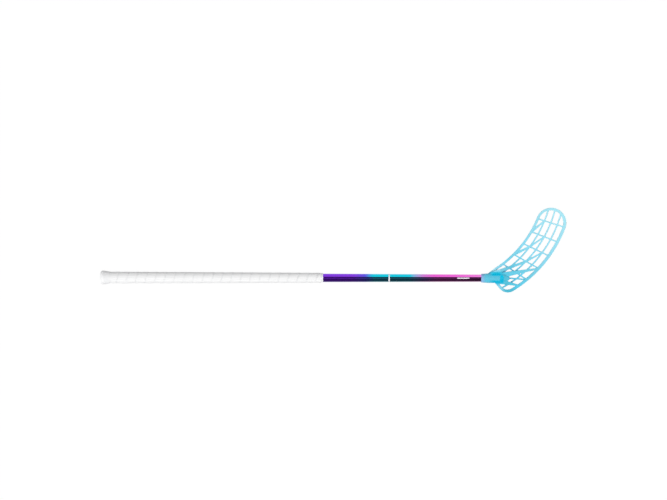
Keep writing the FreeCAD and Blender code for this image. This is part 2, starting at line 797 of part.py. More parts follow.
# The opening lies a little nearer to the top edge, so the rim is wider along the sole
opening = outline.makeOffset2D(-rim_width)
blade_way = (toe - heel).normalize()
opening.translate(plan(-blade_way.y, blade_way.x) * size("rim_sole_extra"))
rim_face = outline.cut(opening)
rim_space = doc.addObject("Part::Feature", "rim_space")
rim_space.Shape = rim_underside()
rim_band = common("rim_band", upright("rim_walls", rim_face.Faces), rim_space)
rim = cut("rim", rim_band, face_ring("face_front", ""))
long_deep = common("long_deep", upright("long_walls", long_ribs() + gussets() + shoulder_webs()),
                   face_ring("long_back", cell("long_rib_back")))
long_web = cut("long_web", long_deep, face_ring("long_front", cell("long_rib_setback")))
cross_deep = common("cross_deep", upright("cross_walls", cross_ribs()),
                    face_ring("cross_back", cell("cross_rib_back")))
cross_web = cut("cross_web", cross_deep, face_ring("cross_front", cell("cross_rib_setback")))


def falling_space(level_end, slope_length, low_level):
    """Make the space under a web's top, which is level at the hosel and then falls to a low level."""
    slope_end = level_end + slope_length
    start = tip - 2 * size("hosel_depth")
    end = toe.x
    wide = slab_height
    corners = [
        FreeCAD.Vector(start, -wide, floor_level),
        FreeCAD.Vector(start, -wide, size("gusset_root_height")),
        FreeCAD.Vector(level_end, -wide, size("gusset_root_height")),
        FreeCAD.Vector(slope_end, -wide, low_level),
        FreeCAD.Vector(end, -wide, low_level),
        FreeCAD.Vector(end, -wide, floor_level),
    ]
    face = Part.Face(Part.makePolygon(corners + corners[:1]))
    return face.extrude(FreeCAD.Vector(0, 2 * wide, 0))


def falling_web(label, faces, level_end, slope_length, low_level):
    """Add webs that fall from the hosel to a low level."""
    room = doc.addObject("Part::Feature", f"{label}_room")
    room.Shape = falling_space(level_end, slope_length, low_level)
    low = common(f"{label}_low", upright(f"{label}_walls", faces), room)
    return common(f"{label}_web", low, face_ring(f"{label}_back", cell("long_rib_back")))


gusset_level_end = tip + size("gusset_level_length")
gusset_web = falling_web("gusset", gussets(), gusset_level_end, size("gusset_slope_length"), face_level)
# The shoulder web ends level with the front of the diagonal
diagonal_level = face_level - size("cross_rib_setback")
web_slope_length = size("shoulder_web_slope_length")
shoulder_web = falling_web("shoulder", shoulder_webs(), tip, web_slope_length, diagonal_level)

HOSEL_END = "(Sizes.shaft_length + Sizes.hosel_end_wall)"
NOSE_END = f"({HOSEL_END} + Sizes.nose_length)"
TAPER_END = f"({HOSEL_MOUTH} + Sizes.hosel_taper_length)"
hosel = turned_body("hosel", (
    (HOSEL_MOUTH, "0"),
    (HOSEL_MOUTH, f"{HOSEL_BORE} + Sizes.hosel_mouth_wall"),
    (TAPER_END, HOSEL_RADIUS),
    (HOSEL_END, HOSEL_RADIUS),
    (NOSE_END, "Sizes.nose_diameter / 2"),
    (NOSE_END, "0"),
))
BORE_END = "(Sizes.shaft_length + Sizes.hosel_tip_gap)"
BORE_START = f"({HOSEL_MOUTH} - Sizes.hosel_depth)"
hosel_bore = turned_body("hosel_bore", (
    (BORE_START, "0"),
    (BORE_START, f"{shaft_radius_at(BORE_START)} + Sizes.hosel_fit"),
    (BORE_END, f"{shaft_radius_at(BORE_END)} + Sizes.hosel_fit"),
    (BORE_END, "0"),
))


def screw_hole(label, place):
    """Add the drill that sinks a screw's seat and its hole into the back of the hosel."""
    seat = doc.addObject("Part::Cylinder", f"{label}_seat")
    seat.setExpression("Radius", "Sizes.screw_head_diameter / 2 + Sizes.screw_fit")
    seat.setExpression("Height", f"2 * {HOSEL_RADIUS}")
    seat.setExpression("Placement.Base.x", place)
    seat.setExpression("Placement.Base.z", f"-{SCREW_SEAT} - 2 * {HOSEL_RADIUS}")
    hole = doc.addObject("Part::Cylinder", f"{label}_hole")
    hole.setExpression("Radius", "(Sizes.screw_diameter + Sizes.screw_fit) / 2")
    hole.setExpression("Height", f"2 * {HOSEL_RADIUS}")
    hole.setExpression("Placement.Base.x", place)
    hole.setExpression("Placement.Base.z", f"-2 * {HOSEL_RADIUS}")
    return [seat, hole]


moulding = doc.addObject("Part::MultiFuse", "moulding")
moulding.Shapes = [hosel, rim, long_web, cross_web, gusset_web, shoulder_web]
moulding.Refine = True
hollows = doc.addObject("Part::MultiFuse", "hollows")
hollows.Shapes = [hosel_bore] + screw_hole("mouth", mouth_screw_at) + screw_hole("tip", tip_screw_at)
blade = cut("blade", moulding, hollows)
blade.Label = "blade"
doc.recompute()

SUBPARTS = (
    shaft_tube,
    shaft_tip_plug,
    end_cap,
    grip_wrap,
    grip_finish_band,
    blade,
    mouth_blade_screw,
    tip_blade_screw,
)
for item in doc.Objects:
    if "Invalid" in item.State or "Error" in item.State:
        raise ValueError(f"{item.Label}: {item.State}")
for subpart in SUBPARTS:
    if subpart.Shape.isNull() or not subpart.Shape.isValid():
        raise ValueError(f"{subpart.Label}: no valid shape")
    if len(subpart.Shape.Solids) != 1:
        raise ValueError(f"{subpart.Label}: {len(subpart.Shape.Solids)} solids")

os.makedirs("parts", exist_ok=True)
for subpart in SUBPARTS:
    subpart.Shape.exportStep(f"parts/{subpart.Label}.step")
    box = subpart.Shape.BoundBox
    print(f"{subpart.Label}: {subpart.Shape.Volume:.0f} mm3, "
          f"{box.XLength:.1f} x {box.YLength:.1f} x {box.ZLength:.1f} mm")
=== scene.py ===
"""Looks of a floorball stick: wound grip, lacquered shaft, moulded blade and a plain studio.

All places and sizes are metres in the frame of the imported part: +X runs along the shaft from
the butt to the blade, +Y points to the toe of the blade and +Z is up.
"""

import logging
import math
from dataclasses import dataclass
from enum import Enum

import bmesh
import bpy
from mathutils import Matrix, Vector


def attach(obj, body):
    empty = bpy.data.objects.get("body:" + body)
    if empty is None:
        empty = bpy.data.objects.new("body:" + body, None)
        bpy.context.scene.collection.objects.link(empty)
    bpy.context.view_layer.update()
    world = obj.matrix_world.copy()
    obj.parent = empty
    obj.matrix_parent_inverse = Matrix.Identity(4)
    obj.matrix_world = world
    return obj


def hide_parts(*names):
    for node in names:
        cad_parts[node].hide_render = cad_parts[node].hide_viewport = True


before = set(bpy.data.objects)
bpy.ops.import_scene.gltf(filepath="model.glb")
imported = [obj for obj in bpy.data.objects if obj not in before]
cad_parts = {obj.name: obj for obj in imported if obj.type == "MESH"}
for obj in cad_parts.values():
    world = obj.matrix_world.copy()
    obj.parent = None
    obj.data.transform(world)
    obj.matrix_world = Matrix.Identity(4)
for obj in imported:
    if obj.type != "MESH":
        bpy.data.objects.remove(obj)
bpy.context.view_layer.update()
LOG = logging.getLogger("floorball_stick")

Socket = bpy.types.NodeSocket
Colour = tuple[float, float, float, float]
Stop = tuple[float, Colour]
Point = tuple[float, float, float]
# First and last value of a change.
Span = tuple[float, float]
# Lower edge, upper edge and half width of the soft edges.
Zone = tuple[float, float, float]

# The curve from screen colours to linear ones: a straight start, then a power.
FULL_LEVEL = 255
STRAIGHT_END = 0.04045
STRAIGHT_SLOPE = 12.92
CURVE_LIFT = 0.055
CURVE_POWER = 2.4

# Sockets of a Mix node that mixes colours.
MIX_UNDER = 6
MIX_OVER = 7
MIX_COLOUR = 2

WHITE: Colour = (1.0, 1.0, 1.0, 1.0)
FULL_TURN = 2 * math.pi
MIDDLE = 0.5


class Sum(Enum):
    """Sums that a finish works out from its coordinates."""

    ADD = "ADD"
    TAKE = "SUBTRACT"
    TIMES = "MULTIPLY"
    OVER = "DIVIDE"
    REST = "FRACT"
    TURN = "ARCTAN2"
    SIZE = "ABSOLUTE"
    LARGER = "MAXIMUM"


class Side(Enum):
    """Sides of a square cut across the shaft, as directions along X."""

    BEFORE = -1.0
    PAST = 1.0


class Body(Enum):
    """Bodies that new pieces ride on."""

    STICK = "stick"


def tint(red: int, green: int, blue: int) -> Colour:
    """Turn a screen colour into the linear colour that a shader takes.

    Args:
        red: Red from 0 to 255.
        green: Green from 0 to 255.
        blue: Blue from 0 to 255.

    Returns:
        The linear colour, opaque.
    """
    channels = []
    for level in (red, green, blue):
        share = level / FULL_LEVEL
        if share <= STRAIGHT_END:
            channels.append(share / STRAIGHT_SLOPE)
        else:
            channels.append(((share + CURVE_LIFT) / (1 + CURVE_LIFT)) ** CURVE_POWER)
    return channels[0], channels[1], channels[2], 1.0


class Recipe:
    """The node tree of one finish, with short calls that add nodes and join them."""

    def __init__(self, name: str) -> None:
        """Start a material with its one shader.

        Args:
            name: Name of the finish.
        """
        self.material = bpy.data.materials.new(name)
        self.material.use_nodes = True
        self.tree = self.material.node_tree
        self.shader = self.tree.nodes["Principled BSDF"]
        self.place = self.tree.nodes.new("ShaderNodeTexCoord").outputs["Object"]

    def join(self, source: Socket, target: Socket) -> None:
        """Link one socket to another."""
        self.tree.links.new(source, target)

    def feed(self, target: Socket, value: Socket | float | Colour) -> None:
        """Give an input a link or a fixed value.

        Args:
            target: Input to fill.
            value: Socket to link from, or a fixed number or colour.
        """
        if isinstance(value, Socket):
            self.join(value, target)
        else:
            target.default_value = value

    def put(self, socket: str, value: Socket | float) -> None:
        """Give one of the shader's own inputs a link or a number that is the same all over."""
        self.feed(self.shader.inputs[socket], value)

    def axes(self) -> tuple[Socket, Socket, Socket]:
        """Split the object's coordinates.

        Returns:
            The sockets of X, Y and Z.
        """
        node = self.tree.nodes.new("ShaderNodeSeparateXYZ")
        self.join(self.place, node.inputs[0])
        return node.outputs[0], node.outputs[1], node.outputs[2]

    def sum(self, kind: Sum, first: Socket | float, second: Socket | float = 0.0) -> Socket:
        """Work out one number from one or two others.

        Args:
            kind: Which sum it is.
            first: First number.
            second: Second number, where the sum has one.

        Returns:
            The socket with the result.
        """
        node = self.tree.nodes.new("ShaderNodeMath")
        node.operation = kind.value
        self.feed(node.inputs[0], first)
        self.feed(node.inputs[1], second)
        return node.outputs[0]

    def count(self, value: Socket, start: float, step: float) -> Socket:
        """Count how many steps a value lies past a start."""
        return self.sum(Sum.OVER, self.sum(Sum.TAKE, value, start), step)

    def rise(self, value: Socket, start: float, end: float) -> Socket:
        """Rise smoothly from 0 to 1 between two values.

        Args:
            value: Number that is looked at.
            start: Value at which the result is 0.
            end: Value at which the result is 1.

        Returns:
            The socket with the result.
        """
        node = self.tree.nodes.new("ShaderNodeMapRange")
        node.interpolation_type = "SMOOTHSTEP"
        self.feed(node.inputs["Value"], value)
        node.inputs["From Min"].default_value = start
        node.inputs["From Max"].default_value = end
        return node.outputs["Result"]

    def window(self, value: Socket, start: float, end: float, soft: float) -> Socket:
        """Be 1 between two values and 0 outside them, with soft edges.

        Args:
            value: Number that is looked at.
            start: Lower edge.
            end: Upper edge.
            soft: Half width of the soft edges.

        Returns:
            The socket with the result.
        """
        lower = self.rise(value, start - soft, start + soft)
        upper = self.rise(value, end + soft, end - soft)
        return self.sum(Sum.TIMES, lower, upper)

    def spread(self, value: Socket, low: float, high: float) -> Socket:
        """Spread a number from 0 to 1 between two others.

        Args:
            value: Number from 0 to 1.
            low: Result at 0.
            high: Result at 1.

        Returns:
            The socket with the result.
        """
        node = self.tree.nodes.new("ShaderNodeMapRange")
        self.feed(node.inputs["Value"], value)
        node.inputs["To Min"].default_value = low
        node.inputs["To Max"].default_value = high
        return node.outputs["Result"]

    def fade(self, factor: Socket, stops: tuple[Stop, ...]) -> Socket:
        """Run through colours along a factor.

        Args:
            factor: Number from 0 to 1.
            stops: Places and colours, in order.

        Returns:
            The socket with the colour.
        """
        node = self.tree.nodes.new("ShaderNodeValToRGB")
        elements = node.color_ramp.elements
        elements[0].position, elements[0].color = stops[0]
        elements[1].position, elements[1].color = stops[-1]
        for position, colour in stops[1:-1]:
            elements.new(position).color = colour
        self.join(factor, node.inputs[0])
        return node.outputs[0]

    def blend(self, factor: Socket, under: Socket | Colour, over: Socket | Colour) -> Socket:
        """Lay one colour over another.

        Args:
            factor: How much of the upper colour shows.
            under: Lower colour.
            over: Upper colour.

        Returns:
            The socket with the colour.
        """
        node = self.tree.nodes.new("ShaderNodeMix")
        node.data_type = "RGBA"
        self.join(factor, node.inputs[0])
        self.feed(node.inputs[MIX_UNDER], under)
        self.feed(node.inputs[MIX_OVER], over)
        return node.outputs[MIX_COLOUR]

    def grain(self, size: float, detail: float = 2.0) -> Socket:
        """Give fine noise of a grain size.

        Args:
            size: Size of one grain.
            detail: How many finer layers it has.

        Returns:
            The socket with the noise from 0 to 1.
        """
        node = self.tree.nodes.new("ShaderNodeTexNoise")
        node.inputs["Scale"].default_value = 1 / size
        node.inputs["Detail"].default_value = detail
        self.join(self.place, node.inputs["Vector"])
        return node.outputs[0]

    def cloud(self, size: float, share: float, detail: float = 2.0) -> Socket:
        """Give noise from 0 to a share, by which a second colour shows through."""
        return self.spread(self.grain(size, detail), 0.0, share)

    def emboss(self, height: Socket, depth: float, strength: float) -> None:
        """Press a height into the surface.

        Args:
            height: Height from 0 to 1.
            depth: Depth that a height of 1 stands for.
            strength: How strongly it shows.
        """
        node = self.tree.nodes.new("ShaderNodeBump")
        node.inputs["Distance"].default_value = depth
        node.inputs["Strength"].default_value = strength
        self.join(height, node.inputs["Height"])
        self.put("Normal", node.outputs[0])


@dataclass(frozen=True)
class Skin:
    """The fine surface of a finish: uneven gloss and a pressed grain."""

    roughness: Span
    gloss_grain: float
    pressed_grain: float
    pressed_depth: float
    pressed_strength: float
    gloss_detail: float = 2.0

    def lay(self, recipe: Recipe) -> None:
        """Give a finish this surface.

        Args:
            recipe: Node tree to add to.
        """
        gloss = recipe.grain(self.gloss_grain, self.gloss_detail)
        recipe.put("Roughness", recipe.spread(gloss, *self.roughness))
        pressed = recipe.grain(self.pressed_grain)
        recipe.emboss(pressed, self.pressed_depth, self.pressed_strength)


@dataclass(frozen=True)
class ShaftTaper:
    """The straight taper of the shaft."""

    length: float = 1.0
    butt_radius: float = 0.0125
    tip_radius: float = 0.0088

    def slope(self) -> float:
        """Give how much the radius drops along X."""
        return (self.butt_radius - self.tip_radius) / self.length


@dataclass(frozen=True)
class ShaftLacquer:
    """Glossy lacquer that fades along the shaft, bright on one side and deep on the other, with
    a painted reflection along the far edge of the deep side.
    """

    taper: ShaftTaper = ShaftTaper()
    fade_start: float = 0.55
    fade_end: float = 0.96
    split: Span = (0.265, 0.335)  # shares of the radius
    # The far edge of the deep side, where the bright paint is laid over the deep one at the
    # given strength as a painted reflection.
    rim: Span = (-0.72, -1.0)  # shares of the radius
    rim_painted_reflection: float = 0.4
    ring: Zone = (0.7205, 0.7234, 0.0002)
    bar_along: Zone = (0.892, 0.922, 0.0002)
    bar_across: Zone = (-0.0011, 0.0011, 0.0002)
    coat: float = 0.03
    coat_roughness: float = 0.06
    skin: Skin = Skin(
        roughness=(0.32, 0.46),
        gloss_grain=0.0005,
        pressed_grain=0.0016,
        pressed_depth=0.000006,
        pressed_strength=0.15,
    )
    white: Colour = tint(238, 236, 242)
    bright: tuple[Stop, ...] = (
        (0.0, tint(130, 58, 220)),
        (0.205, tint(132, 60, 222)),
        (0.275, tint(92, 84, 224)),
        (0.315, tint(28, 190, 222)),
        (0.33, tint(20, 202, 224)),
        (0.548, tint(24, 200, 224)),
        (0.585, tint(158, 166, 221)),
        (0.63, tint(208, 122, 212)),
        (0.69, tint(232, 96, 210)),
        (0.84, tint(236, 104, 214)),
        (1.0, tint(238, 132, 220)),
    )
    deep: tuple[Stop, ...] = (
        (0.0, tint(38, 4, 76)),
        (0.19, tint(36, 4, 74)),
        (0.29, tint(16, 20, 64)),
        (0.33, tint(5, 40, 52)),
        (0.54, tint(5, 36, 46)),
        (0.64, tint(28, 18, 46)),
        (0.72, tint(48, 11, 42)),
        (1.0, tint(28, 4, 28)),
    )

    def material(self) -> bpy.types.Material:
        """Make the finish.

        Returns:
            The material.
        """
        recipe = Recipe("shaft_lacquer")
        along, across, _ = recipe.axes()
        drop = recipe.sum(Sum.TIMES, along, self.taper.slope())
        radius = recipe.sum(Sum.TAKE, self.taper.butt_radius, drop)
        height = recipe.sum(Sum.OVER, across, radius)
        reach = recipe.count(along, self.fade_start, self.fade_end - self.fade_start)
        bright = recipe.fade(reach, self.bright)
        # Painted reflection: the bright paint laid over the deep side along its far edge.
        rim_painted_reflection = recipe.sum(Sum.TIMES, recipe.rise(height, *self.rim), self.rim_painted_reflection)
        deep = recipe.blend(rim_painted_reflection, recipe.fade(reach, self.deep), bright)
        paint = recipe.blend(recipe.rise(height, *self.split), deep, bright)
        ring = recipe.window(along, *self.ring)
        bar_length = recipe.window(along, *self.bar_along)
        bar_height = recipe.window(across, *self.bar_across)
        bar = recipe.sum(Sum.TIMES, bar_length, bar_height)
        white_print = recipe.sum(Sum.LARGER, ring, bar)
        recipe.put("Base Color", recipe.blend(white_print, paint, self.white))
        recipe.put("Metallic", recipe.sum(Sum.TAKE, 1.0, white_print))
        self.skin.lay(recipe)
        recipe.put("Coat Weight", self.coat)
        recipe.put("Coat Roughness", self.coat_roughness)
        return recipe.material


@dataclass(frozen=True)
class GripFoam:
    """Soft white strip with rows of small pricked holes and a faint leathery skin."""

    first_place: float
    pitch: float
    spare_lanes: float = 100.5  # keeps the count above 0, and the half centres the strip
    spare_holes: float = 50.0  # keeps the count above 0
    holes_round: float = 18.0
    hole_rows: float = 5.0
    hole_share: float = 0.16
    hole_floor: float = 0.4
    seam: Span = (0.465, 0.497)
    cloud_grain: float = 0.02
    cloud_share: float = 0.25
    skin_grain: float = 0.0011
    skin_detail: float = 4.0
    skin_height: float = 0.25
    roughness: Span = (0.62, 0.8)
    pressed_depth: float = 0.00025
    pressed_strength: float = 0.7
    specular: float = 0.1
    white: Colour = tint(239, 239, 239)
    cloud_shade: Colour = tint(228, 229, 231)
    hole_shade: Colour = tint(196, 197, 200)
    seam_shade: Colour = tint(226, 227, 229)

    def material(self) -> bpy.types.Material:
        """Make the finish.

        Returns:
            The material.
        """
        recipe = Recipe("grip_soft")
        along, across, up = recipe.axes()
        angle = recipe.sum(Sum.OVER, recipe.sum(Sum.TURN, up, across), FULL_TURN)
        turns = recipe.sum(Sum.ADD, recipe.count(along, self.first_place, self.pitch), angle)
        lane = recipe.sum(Sum.REST, recipe.sum(Sum.ADD, turns, self.spare_lanes))
        row = recipe.sum(Sum.TIMES, lane, self.hole_rows)
        step = recipe.sum(Sum.TIMES, angle, self.holes_round)
        holes = self.dots(recipe, recipe.sum(Sum.ADD, step, self.spare_holes), row)
        cloud = recipe.cloud(self.cloud_grain, self.cloud_share)
        shade = recipe.blend(cloud, self.white, self.cloud_shade)
        off_middle = recipe.sum(Sum.SIZE, recipe.sum(Sum.TAKE, lane, MIDDLE))
        shade = recipe.blend(recipe.rise(off_middle, *self.seam), shade, self.seam_shade)
        recipe.put("Base Color", recipe.blend(holes, shade, self.hole_shade))
        skin = recipe.grain(self.skin_grain, self.skin_detail)
        recipe.put("Roughness", recipe.spread(skin, *self.roughness))
        pressed = recipe.sum(Sum.TAKE, recipe.sum(Sum.TIMES, skin, self.skin_height), holes)
        recipe.emboss(pressed, self.pressed_depth, self.pressed_strength)
        recipe.put("Specular IOR Level", self.specular)
        return recipe.material

    def dots(self, recipe: Recipe, step: Socket, row: Socket) -> Socket:
        """Lay round holes on the strip, one in each square of its rows.

        Args:
            recipe: Node tree to add to.
            step: Place round the shaft, in holes.
            row: Place across the strip, in rows.

        Returns:
            The socket with 1 inside the holes.
        """
        first = recipe.sum(Sum.TAKE, recipe.sum(Sum.REST, step), MIDDLE)
        second = recipe.sum(Sum.TAKE, recipe.sum(Sum.REST, row), MIDDLE)
        squared = recipe.sum(
            Sum.ADD,
            recipe.sum(Sum.TIMES, first, first),
            recipe.sum(Sum.TIMES, second, second),
        )
        reach = self.hole_share ** 2
        return recipe.rise(squared, reach, reach * self.hole_floor)


@dataclass(frozen=True)
class WhiteMoulding:
    """White moulded plastic of the end cap, with a fine eroded grain."""

    white: Colour = tint(239, 239, 239)
    worn: Colour = tint(222, 223, 226)
    cloud_grain: float = 0.009
    cloud_share: float = 0.7
    cloud_detail: float = 4.0
    specular: float = 0.08
    skin: Skin = Skin(
        roughness=(0.42, 0.58),
        gloss_grain=0.0006,
        pressed_grain=0.0005,
        pressed_depth=0.00004,
        pressed_strength=0.35,
    )

    def material(self) -> bpy.types.Material:
        """Make the finish.

        Returns:
            The material.
        """
        recipe = Recipe("cap_plastic")
        cloud = recipe.cloud(self.cloud_grain, self.cloud_share, self.cloud_detail)
        recipe.put("Base Color", recipe.blend(cloud, self.white, self.worn))
        self.skin.lay(recipe)
        recipe.put("Specular IOR Level", self.specular)
        return recipe.material


@dataclass(frozen=True)
class BandFilm:
    """White film of the finishing band, with fine lines from being stretched round the shaft."""

    white: Colour = tint(246, 246, 248)
    line: Colour = tint(226, 227, 232)
    line_spacing: float = 0.0009
    wobble: Span = (-0.0004, 0.0004)
    wobble_grain: float = 0.01
    ridge: Zone = (0.3, 0.7, 0.2)  # shares of the spacing
    roughness: Span = (0.4, 0.28)
    ridge_depth: float = 0.00003
    ridge_strength: float = 0.4

    def material(self) -> bpy.types.Material:
        """Make the finish.

        Returns:
            The material.
        """
        recipe = Recipe("band_film")
        along, _, _ = recipe.axes()
        wobble = recipe.spread(recipe.grain(self.wobble_grain), *self.wobble)
        place = recipe.sum(Sum.ADD, along, wobble)
        lines = recipe.sum(Sum.REST, recipe.sum(Sum.OVER, place, self.line_spacing))
        ridge = recipe.window(lines, *self.ridge)
        recipe.put("Base Color", recipe.blend(ridge, self.line, self.white))
        recipe.put("Roughness", recipe.spread(ridge, *self.roughness))
        recipe.emboss(ridge, self.ridge_depth, self.ridge_strength)
        return recipe.material


@dataclass(frozen=True)
class Patch:
    """A stretch at the root of the blade that gets painted light, with soft edges."""

    across: Zone
    along: Span

    def cover(self, recipe: Recipe, along: Socket, across: Socket) -> Socket:
        """Give 1 on the patch and 0 outside it.

        Args:
            recipe: Node tree to add to.
            along: Place along X.
            across: Place along Y.

        Returns:
            The socket with the result.
        """
        width = recipe.window(across, *self.across)
        length = recipe.rise(along, *self.along)
        return recipe.sum(Sum.TIMES, width, length)


@dataclass(frozen=True)
class BladePlastic:
    """Cyan moulding that looks deeper where it is thick and paler towards the toe, with painted
    light on the shaded spots by the hosel.
    """

    fade_start: float = 1.0
    fade_length: float = 0.3
    fading: tuple[Stop, ...] = (
        (0.0, tint(86, 190, 213)),
        # The stops at 0.06 and 0.15 lie above a plain fade: painted light that lifts the shade
        # on the gussets by the heel.
        (0.06, tint(95, 205, 232)),
        (0.15, tint(110, 210, 236)),
        (0.3, tint(124, 210, 231)),
        (0.5, tint(143, 218, 239)),
        (0.7, tint(155, 222, 239)),
        (1.0, tint(167, 226, 239)),
    )
    hosel: Colour = tint(92, 190, 216)
    # Painted light: the hosel is lighter towards its upper side, to lift the shade that falls
    # there.
    hosel_painted_light: Colour = tint(97, 200, 228)
    hosel_light_side: Span = (0.0, 0.005)
    hosel_end: Span = (1.012, 0.996)
    # Painted light: patches by the hosel that lift the shade in its pockets; the thin ribs there
    # are also paler.
    root_painted_light: Colour = tint(188, 237, 247)
    root_light_share: float = 0.45
    over_root: Patch = Patch(across=(0.017, 0.05, 0.004), along=(1.03, 0.995))
    under_root: Patch = Patch(across=(-0.04, -0.017, 0.003), along=(1.014, 1.002))
    corner_share: float = 0.95
    corner: Patch = Patch(across=(0.017, 0.05, 0.002), along=(0.997, 0.984))
    thick: Colour = tint(0, 178, 214)
    # Painted light: the deep colour is lighter on the hosel's upper flank, to lift the shade
    # that falls there.
    thick_painted_light: Colour = tint(0, 204, 243)
    thick_side: Span = (-0.003, 0.007)
    thick_level: Colour = tint(8, 185, 214)
    level_side: Span = (0.0105, 0.0125)
    flank_side: Span = (0.004, 0.0078)
    flank_along: Zone = (0.976, 1.004, 0.008)
    flank_across: Zone = (-0.0135, 0.0155, 0.002)
    shaft_end: Point = (1.0035, -0.002, 0.004)
    shaft_end_reach: Point = (0.0066, 0.0135, 0.03)
    shaft_end_soft: Span = (0.0, 0.35)
    mouth: Colour = tint(142, 178, 223)
    lip: Span = (0.965, 0.9525)
    cloud_shade: Colour = tint(60, 178, 208)
    cloud_grain: float = 0.012
    cloud_share: float = 0.1
    cloud_detail: float = 3.0
    specular: float = 0.08
    skin: Skin = Skin(
        roughness=(0.3, 0.42),
        gloss_grain=0.004,
        pressed_grain=0.0007,
        pressed_depth=0.00003,
        pressed_strength=0.3,
        gloss_detail=3.0,
    )

    def material(self) -> bpy.types.Material:
        """Make the finish.

        Returns:
            The material.
        """
        recipe = Recipe("blade_plastic")
        along, across, _ = recipe.axes()
        to_toe = recipe.sum(Sum.ADD, along, across)
        reach = recipe.count(to_toe, self.fade_start, self.fade_length)
        colour = recipe.fade(reach, self.fading)
        # Painted light on the hosel's upper side, which lies in shade.
        hosel_light_side = recipe.rise(across, *self.hosel_light_side)
        hosel = recipe.blend(hosel_light_side, self.hosel, self.hosel_painted_light)
        colour = recipe.blend(recipe.rise(along, *self.hosel_end), colour, hosel)
        # Painted light in the shaded pockets at the blade's root.
        colour = recipe.blend(self.pale(recipe, along, across), colour, self.root_painted_light)
        # Painted light on the shaded upper flank of the hosel.
        thick = recipe.blend(recipe.rise(across, *self.thick_side), self.thick, self.thick_painted_light)
        thick = recipe.blend(recipe.rise(across, *self.level_side), thick, self.thick_level)
        colour = recipe.blend(self.deep(recipe, along, across), colour, thick)
        colour = recipe.blend(recipe.rise(along, *self.lip), colour, self.mouth)
        cloud = recipe.cloud(self.cloud_grain, self.cloud_share, self.cloud_detail)
        recipe.put("Base Color", recipe.blend(cloud, colour, self.cloud_shade))
        self.skin.lay(recipe)
        recipe.put("Specular IOR Level", self.specular)
        return recipe.material

    def pale(self, recipe: Recipe, along: Socket, across: Socket) -> Socket:
        """Find where light is painted at the blade's root, to lift the shade in the pockets
        beside the hosel, where the thin ribs are also paler.

        Args:
            recipe: Node tree to add to.
            along: Place along X.
            across: Place along Y.

        Returns:
            The socket with how much painted light a place gets.
        """
        over = self.over_root.cover(recipe, along, across)
        under = self.under_root.cover(recipe, along, across)
        thin = recipe.sum(Sum.TIMES, recipe.sum(Sum.LARGER, over, under), self.root_light_share)
        corner = self.corner.cover(recipe, along, across)
        return recipe.sum(Sum.LARGER, thin, recipe.sum(Sum.TIMES, corner, self.corner_share))

    def deep(self, recipe: Recipe, along: Socket, across: Socket) -> Socket:
        """Find the thick plastic beside the shaft and past its end, which looks deep.

        Args:
            recipe: Node tree to add to.
            along: Place along X.
            across: Place along Y.

        Returns:
            The socket with how deep a place looks.
        """
        flanks = recipe.rise(recipe.sum(Sum.SIZE, across), *self.flank_side)
        flanks = recipe.sum(Sum.TIMES, flanks, recipe.window(along, *self.flank_along))
        flanks = recipe.sum(Sum.TIMES, flanks, recipe.window(across, *self.flank_across))
        return recipe.sum(Sum.LARGER, flanks, self.pool(recipe))

    def pool(self, recipe: Recipe) -> Socket:
        """Make a soft egg-shaped zone past the end of the shaft.

        Args:
            recipe: Node tree to add to.

        Returns:
            The socket with 1 in the middle, falling to 0 at the zone's edge.
        """
        place = recipe.tree.nodes.new("ShaderNodeMapping")
        place.vector_type = "TEXTURE"
        place.inputs["Location"].default_value = self.shaft_end
        place.inputs["Scale"].default_value = self.shaft_end_reach
        recipe.join(recipe.place, place.inputs["Vector"])
        ball = recipe.tree.nodes.new("ShaderNodeTexGradient")
        ball.gradient_type = "SPHERICAL"
        recipe.join(place.outputs[0], ball.inputs["Vector"])
        return recipe.rise(ball.outputs["Fac"], *self.shaft_end_soft)


@dataclass(frozen=True)
class PlugPlastic:
    """Black plastic of the plug in the tip of the shaft."""

    black: Colour = tint(40, 40, 43)
    grey: Colour = tint(58, 58, 62)
    cloud_grain: float = 0.003
    skin: Skin = Skin(
        roughness=(0.5, 0.65),
        gloss_grain=0.0007,
        pressed_grain=0.0007,
        pressed_depth=0.00003,
        pressed_strength=0.3,
    )

    def material(self) -> bpy.types.Material:
        """Make the finish.

        Returns:
            The material.
        """
        recipe = Recipe("plug_plastic")
        cloud = recipe.grain(self.cloud_grain)
        recipe.put("Base Color", recipe.blend(cloud, self.black, self.grey))
        self.skin.lay(recipe)
        return recipe.material


@dataclass(frozen=True)
class ScrewZinc:
    """Zinc-plated steel of the blade screws, with a plating that is dull where it is rough."""

    bright: Colour = tint(196, 197, 200)
    dull: Colour = tint(150, 152, 158)
    skin: Skin = Skin(
        roughness=(0.28, 0.46),
        gloss_grain=0.0012,
        pressed_grain=0.0004,
        pressed_depth=0.00002,
        pressed_strength=0.3,
        gloss_detail=3.0,
    )

    def material(self) -> bpy.types.Material:
        """Make the finish.

        Returns:
            The material.
        """
        recipe = Recipe("screw_steel")
        mottle = recipe.grain(self.skin.gloss_grain, self.skin.gloss_detail)
        recipe.put("Base Color", recipe.blend(mottle, self.bright, self.dull))
        self.skin.lay(recipe)
        recipe.put("Metallic", 1.0)
        return recipe.material


def dress(piece: bpy.types.Object, material: bpy.types.Material) -> None:
    """Give a piece one finish all over."""
    piece.data.materials.clear()
    piece.data.materials.append(material)


def new_piece(name: str, shape: bmesh.types.BMesh) -> bpy.types.Object:
    """Make an object of a finished shape, smooth and at the origin.

    Args:
        name: Name of the piece.
        shape: Finished shape, which is used up.

    Returns:
        The object.
    """
    mesh = bpy.data.meshes.new(name)
    shape.to_mesh(mesh)
    shape.free()
    mesh.shade_smooth()
    piece = bpy.data.objects.new(name, mesh)
    bpy.context.scene.collection.objects.link(piece)
    return piece


def triangles(piece: bpy.types.Object) -> int:
    """Count the triangles of a piece's mesh."""
    piece.data.calc_loop_triangles()
    return len(piece.data.loop_triangles)


